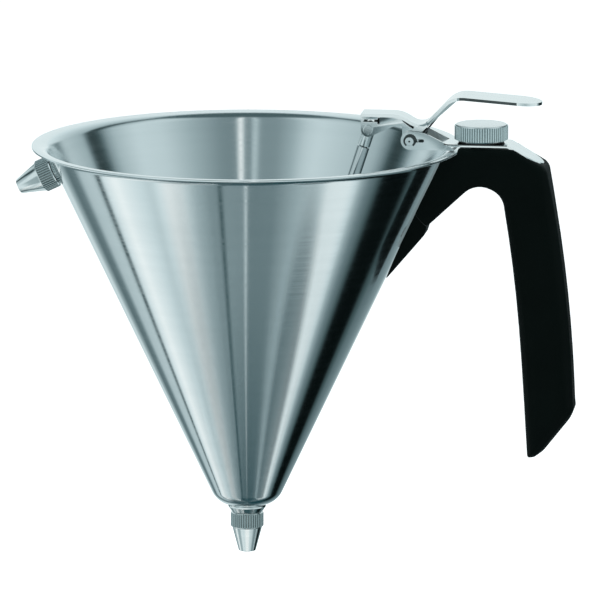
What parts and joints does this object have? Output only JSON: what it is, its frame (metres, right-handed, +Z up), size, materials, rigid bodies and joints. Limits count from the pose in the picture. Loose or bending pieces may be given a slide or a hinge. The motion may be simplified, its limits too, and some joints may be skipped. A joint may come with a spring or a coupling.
{
  "type": "fondant funnel",
  "caption": "Hand-held conical dispensing funnel with a rolled-out rim, a black loop handle, a sprung thumb lever that lifts a ball valve, a flow knob and screw-on nozzles.",
  "frame": {"origin": "on the cone's axis, at the height where the cone is 115 mm across outside, which is where a stand's ring holds it", "axes": "+Z up along the cone's axis, towards the rim; +X from the axis towards the handle"},
  "size_m": [0.2495, 0.19, 0.2075],
  "materials": {
    "steel": "finely brushed",
    "plated": "satin plated",
    "dark_steel": "dull",
    "black": "fine satin",
    "rubber": "matte"
  },
  "bodies": {
    "base": {"funnel_cone": "steel", "outlet_boss": "plated", "spare_stud": "plated", "lever_bracket": "steel", "pivot_pin": "plated", "pivot_clip": "dark_steel", "lever_spring": "dark_steel", "clamp_bush": "dark_steel", "handle_grip": "black", "handle_leg": "black", "handle_tang": "steel", "leg_screw": "dark_steel"},
    "lever_arm": {"lever": "plated", "rod_pin": "plated"},
    "valve": {"rod_eye": "plated", "valve_rod": "steel", "valve_ball": "plated"},
    "knob_seat": {"knob_ring": "rubber"},
    "knob": {"flow_knob": "plated", "knob_stud": "steel"},
    "main_gasket": {"nozzle_gasket": "rubber"},
    "main_nozzle": {"nozzle": "plated"},
    "stored_gasket": {"spare_nozzle_gasket": "rubber"},
    "stored_nozzle": {"spare_nozzle": "plated"}
  },
  "joints": [
    {"name": "lever_press", "type": "hinge", "parent": "base", "child": "lever_arm", "pos_m": [0.0735, 0, 0.07237], "axis": [0, 1, 0], "range_deg": [0, 10], "stiffness_Nm_per_rad": 0.6, "springref_deg": -20.05, "deforming": ["lever_spring"]},
    {"name": "rod_swing", "type": "hinge", "parent": "lever_arm", "child": "valve", "pos_m": [0.0548, 0, 0.07667], "axis": [0, 1, 0], "range_deg": [-10, 0]},
    {"name": "knob_rise", "type": "slide", "parent": "base", "child": "knob_seat", "axis": [0, 0, 1], "range_m": [0, 0.002]},
    {"name": "knob_turn", "type": "hinge", "parent": "knob_seat", "child": "knob", "pos_m": [0.1042, 0, 0.0732], "axis": [0, 0, 1], "range_deg": [0, 720]},
    {"name": "nozzle_drop", "type": "slide", "parent": "base", "child": "main_gasket", "axis": [0, 0, -1], "range_m": [0, 0.004]},
    {"name": "nozzle_turn", "type": "hinge", "parent": "main_gasket", "child": "main_nozzle", "pos_m": [0, 0, -0.0975], "axis": [0, 0, -1], "range_deg": [0, 720]},
    {"name": "spare_draw", "type": "slide", "parent": "base", "child": "stored_gasket", "axis": [-0.9035, 0, -0.4286], "range_m": [0, 0.004]},
    {"name": "spare_turn", "type": "hinge", "parent": "stored_gasket", "child": "stored_nozzle", "pos_m": [-0.08589, 0, 0.05425], "axis": [-0.9035, 0, -0.4286], "range_deg": [0, 720]}
  ],
  "couplings": [
    {"joint": "rod_swing", "follows": "lever_press", "ratio": -0.96476},
    {"joint": "knob_rise", "follows": "knob_turn", "m_per_rad": 0.00015915},
    {"joint": "nozzle_drop", "follows": "nozzle_turn", "m_per_rad": 0.0003183},
    {"joint": "spare_draw", "follows": "spare_turn", "m_per_rad": 0.0003183}
  ]
}
